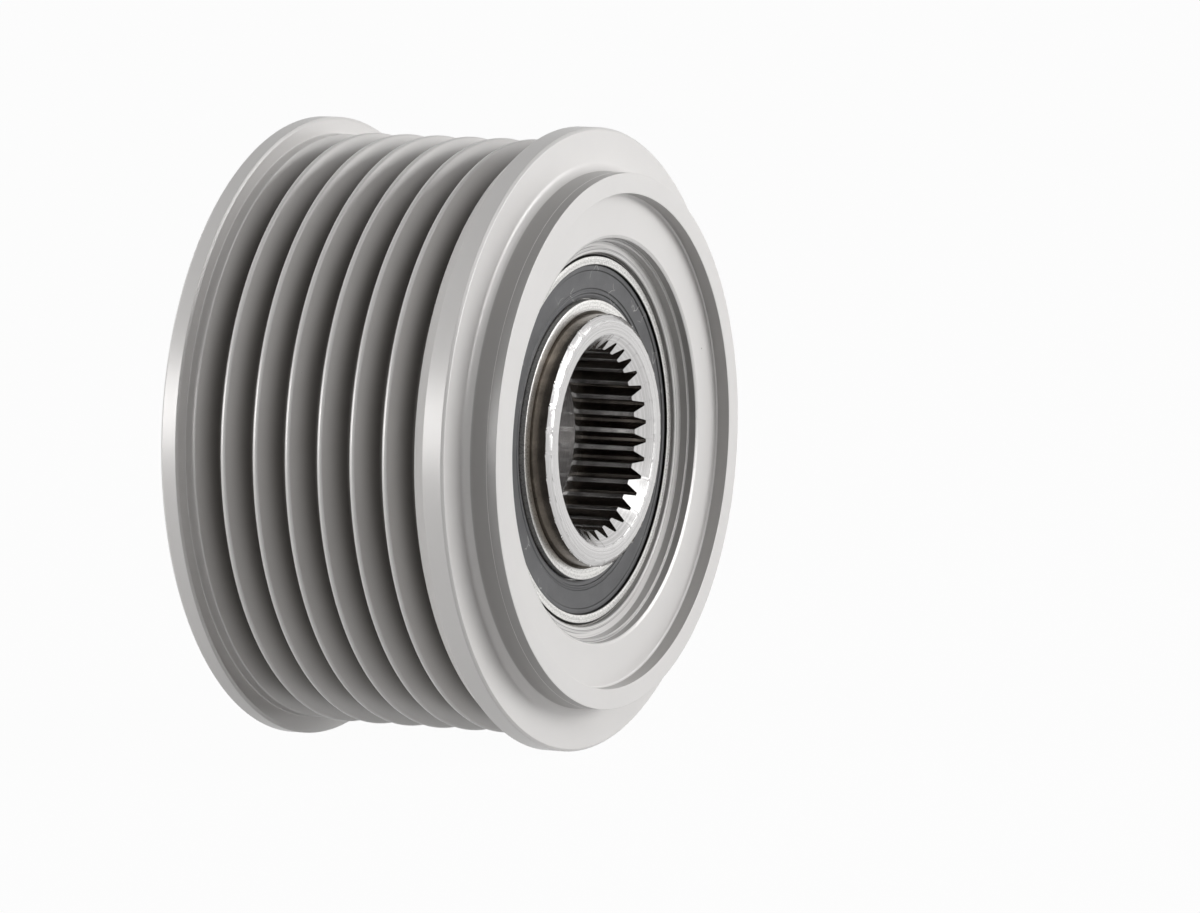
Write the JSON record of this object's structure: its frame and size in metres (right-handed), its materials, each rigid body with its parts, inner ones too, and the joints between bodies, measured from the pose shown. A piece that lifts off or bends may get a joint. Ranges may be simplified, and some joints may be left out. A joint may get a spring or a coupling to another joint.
{
  "type": "overrunning alternator pulley",
  "caption": "Freewheel alternator pulley: grooved belt rim between flanges, raised front ring with a cap seat, sealed ball bearings, and a hub with a serrated socket and a threaded bore.",
  "frame": {"origin": "centre of the rear face, on the pulley's axis", "axes": "+Z along the axis towards the open front, so the pulley stands on its rear rim"},
  "size_m": [0.0618, 0.0618, 0.0347],
  "materials": {
    "coated_rim": "light grey satin coat on turned steel",
    "hub_steel": "turned and broached, bright nose",
    "bearing_steel": "ground",
    "clutch_steel": "turned and hardened",
    "spring_steel": "rolled strip",
    "seal_rubber": "matte moulded",
    "cage_plastic": "moulded polyamide"
  },
  "bodies": {
    "pulley": {"pulley_body": "coated_rim", "front_outer_ring": "bearing_steel", "front_seal": "seal_rubber", "rear_outer_ring": "bearing_steel", "rear_seal": "seal_rubber", "clutch_sleeve": "clutch_steel", "clutch_cage": "cage_plastic", "clutch_roller_1": "bearing_steel", "clutch_roller_2": "bearing_steel", "clutch_roller_3": "bearing_steel", "clutch_roller_4": "bearing_steel", "clutch_roller_5": "bearing_steel", "clutch_roller_6": "bearing_steel", "clutch_roller_7": "bearing_steel", "clutch_roller_8": "bearing_steel", "clutch_spring_1": "spring_steel", "clutch_spring_2": "spring_steel", "clutch_spring_3": "spring_steel", "clutch_spring_4": "spring_steel", "clutch_spring_5": "spring_steel", "clutch_spring_6": "spring_steel", "clutch_spring_7": "spring_steel", "clutch_spring_8": "spring_steel"},
    "hub": {"splined_hub": "hub_steel", "front_inner_ring": "bearing_steel", "rear_inner_ring": "bearing_steel"},
    "front_balls": {"front_ball_cage": "cage_plastic", "front_ball_01": "bearing_steel", "front_ball_02": "bearing_steel", "front_ball_03": "bearing_steel", "front_ball_04": "bearing_steel", "front_ball_05": "bearing_steel", "front_ball_06": "bearing_steel", "front_ball_07": "bearing_steel", "front_ball_08": "bearing_steel", "front_ball_09": "bearing_steel", "front_ball_10": "bearing_steel", "front_ball_11": "bearing_steel", "front_ball_12": "bearing_steel", "front_ball_13": "bearing_steel"},
    "rear_balls": {"rear_ball_cage": "cage_plastic", "rear_ball_01": "bearing_steel", "rear_ball_02": "bearing_steel", "rear_ball_03": "bearing_steel", "rear_ball_04": "bearing_steel", "rear_ball_05": "bearing_steel", "rear_ball_06": "bearing_steel", "rear_ball_07": "bearing_steel", "rear_ball_08": "bearing_steel", "rear_ball_09": "bearing_steel", "rear_ball_10": "bearing_steel", "rear_ball_11": "bearing_steel", "rear_ball_12": "bearing_steel", "rear_ball_13": "bearing_steel"}
  },
  "joints": [
    {"name": "hub_spin", "type": "hinge", "parent": "pulley", "child": "hub", "pos_m": [0, 0, 0.0169], "axis": [0, 0, 1], "continuous": true},
    {"name": "front_balls_orbit", "type": "hinge", "parent": "pulley", "child": "front_balls", "pos_m": [0, 0, 0.0277], "axis": [0, 0, 1], "continuous": true},
    {"name": "rear_balls_orbit", "type": "hinge", "parent": "pulley", "child": "rear_balls", "pos_m": [0, 0, 0.0065], "axis": [0, 0, 1], "continuous": true}
  ],
  "couplings": [
    {"joint": "front_balls_orbit", "follows": "hub_spin", "ratio": 0.44355},
    {"joint": "rear_balls_orbit", "follows": "hub_spin", "ratio": 0.44355}
  ]
}
